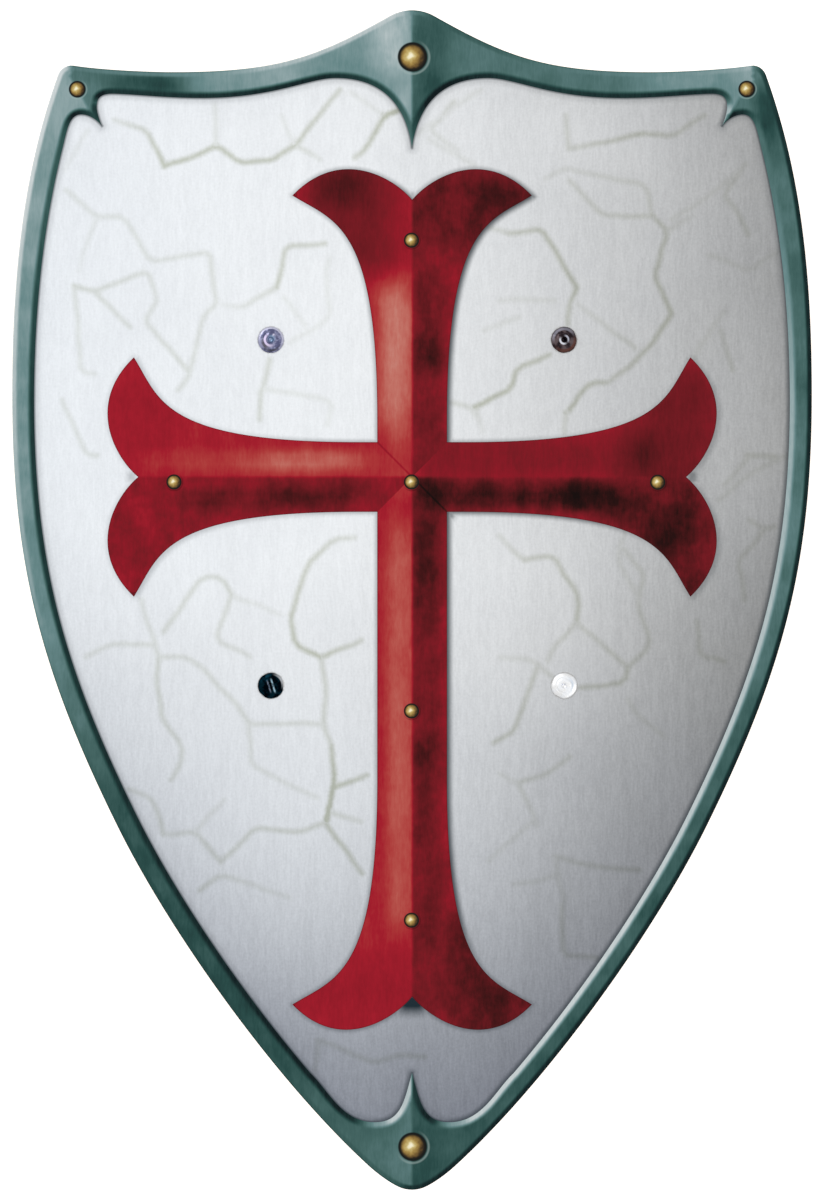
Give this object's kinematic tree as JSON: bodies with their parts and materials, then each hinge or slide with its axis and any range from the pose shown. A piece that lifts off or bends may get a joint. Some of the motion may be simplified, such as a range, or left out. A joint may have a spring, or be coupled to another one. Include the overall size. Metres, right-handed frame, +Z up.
{
  "type": "toy knight shield",
  "caption": "Flat wooden heater shield with a printed cross and frame, steel rivets and leather arm straps on the back.",
  "frame": {"origin": "on the surface that the shield lies on, below the middle of its outline", "axes": "+Y from the tip towards the top of the shield, +X to the right as seen from the face, +Z up out of the face"},
  "size_m": [0.32, 0.472, 0.0533],
  "materials": {
    "printed_wood": "plywood, printed face under a satin varnish, bare back and edge",
    "rivet_steel": "polished, lightly tarnished",
    "strap_leather": "smooth brown vegetable-tanned leather with bare cut edges"
  },
  "bodies": {
    "root": {"board": "printed_wood", "rivet_top_left": "rivet_steel", "rivet_top_right": "rivet_steel", "rivet_bottom_left": "rivet_steel", "rivet_bottom_right": "rivet_steel", "strap_left": "strap_leather", "strap_right": "strap_leather"}
  },
  "joints": []
}
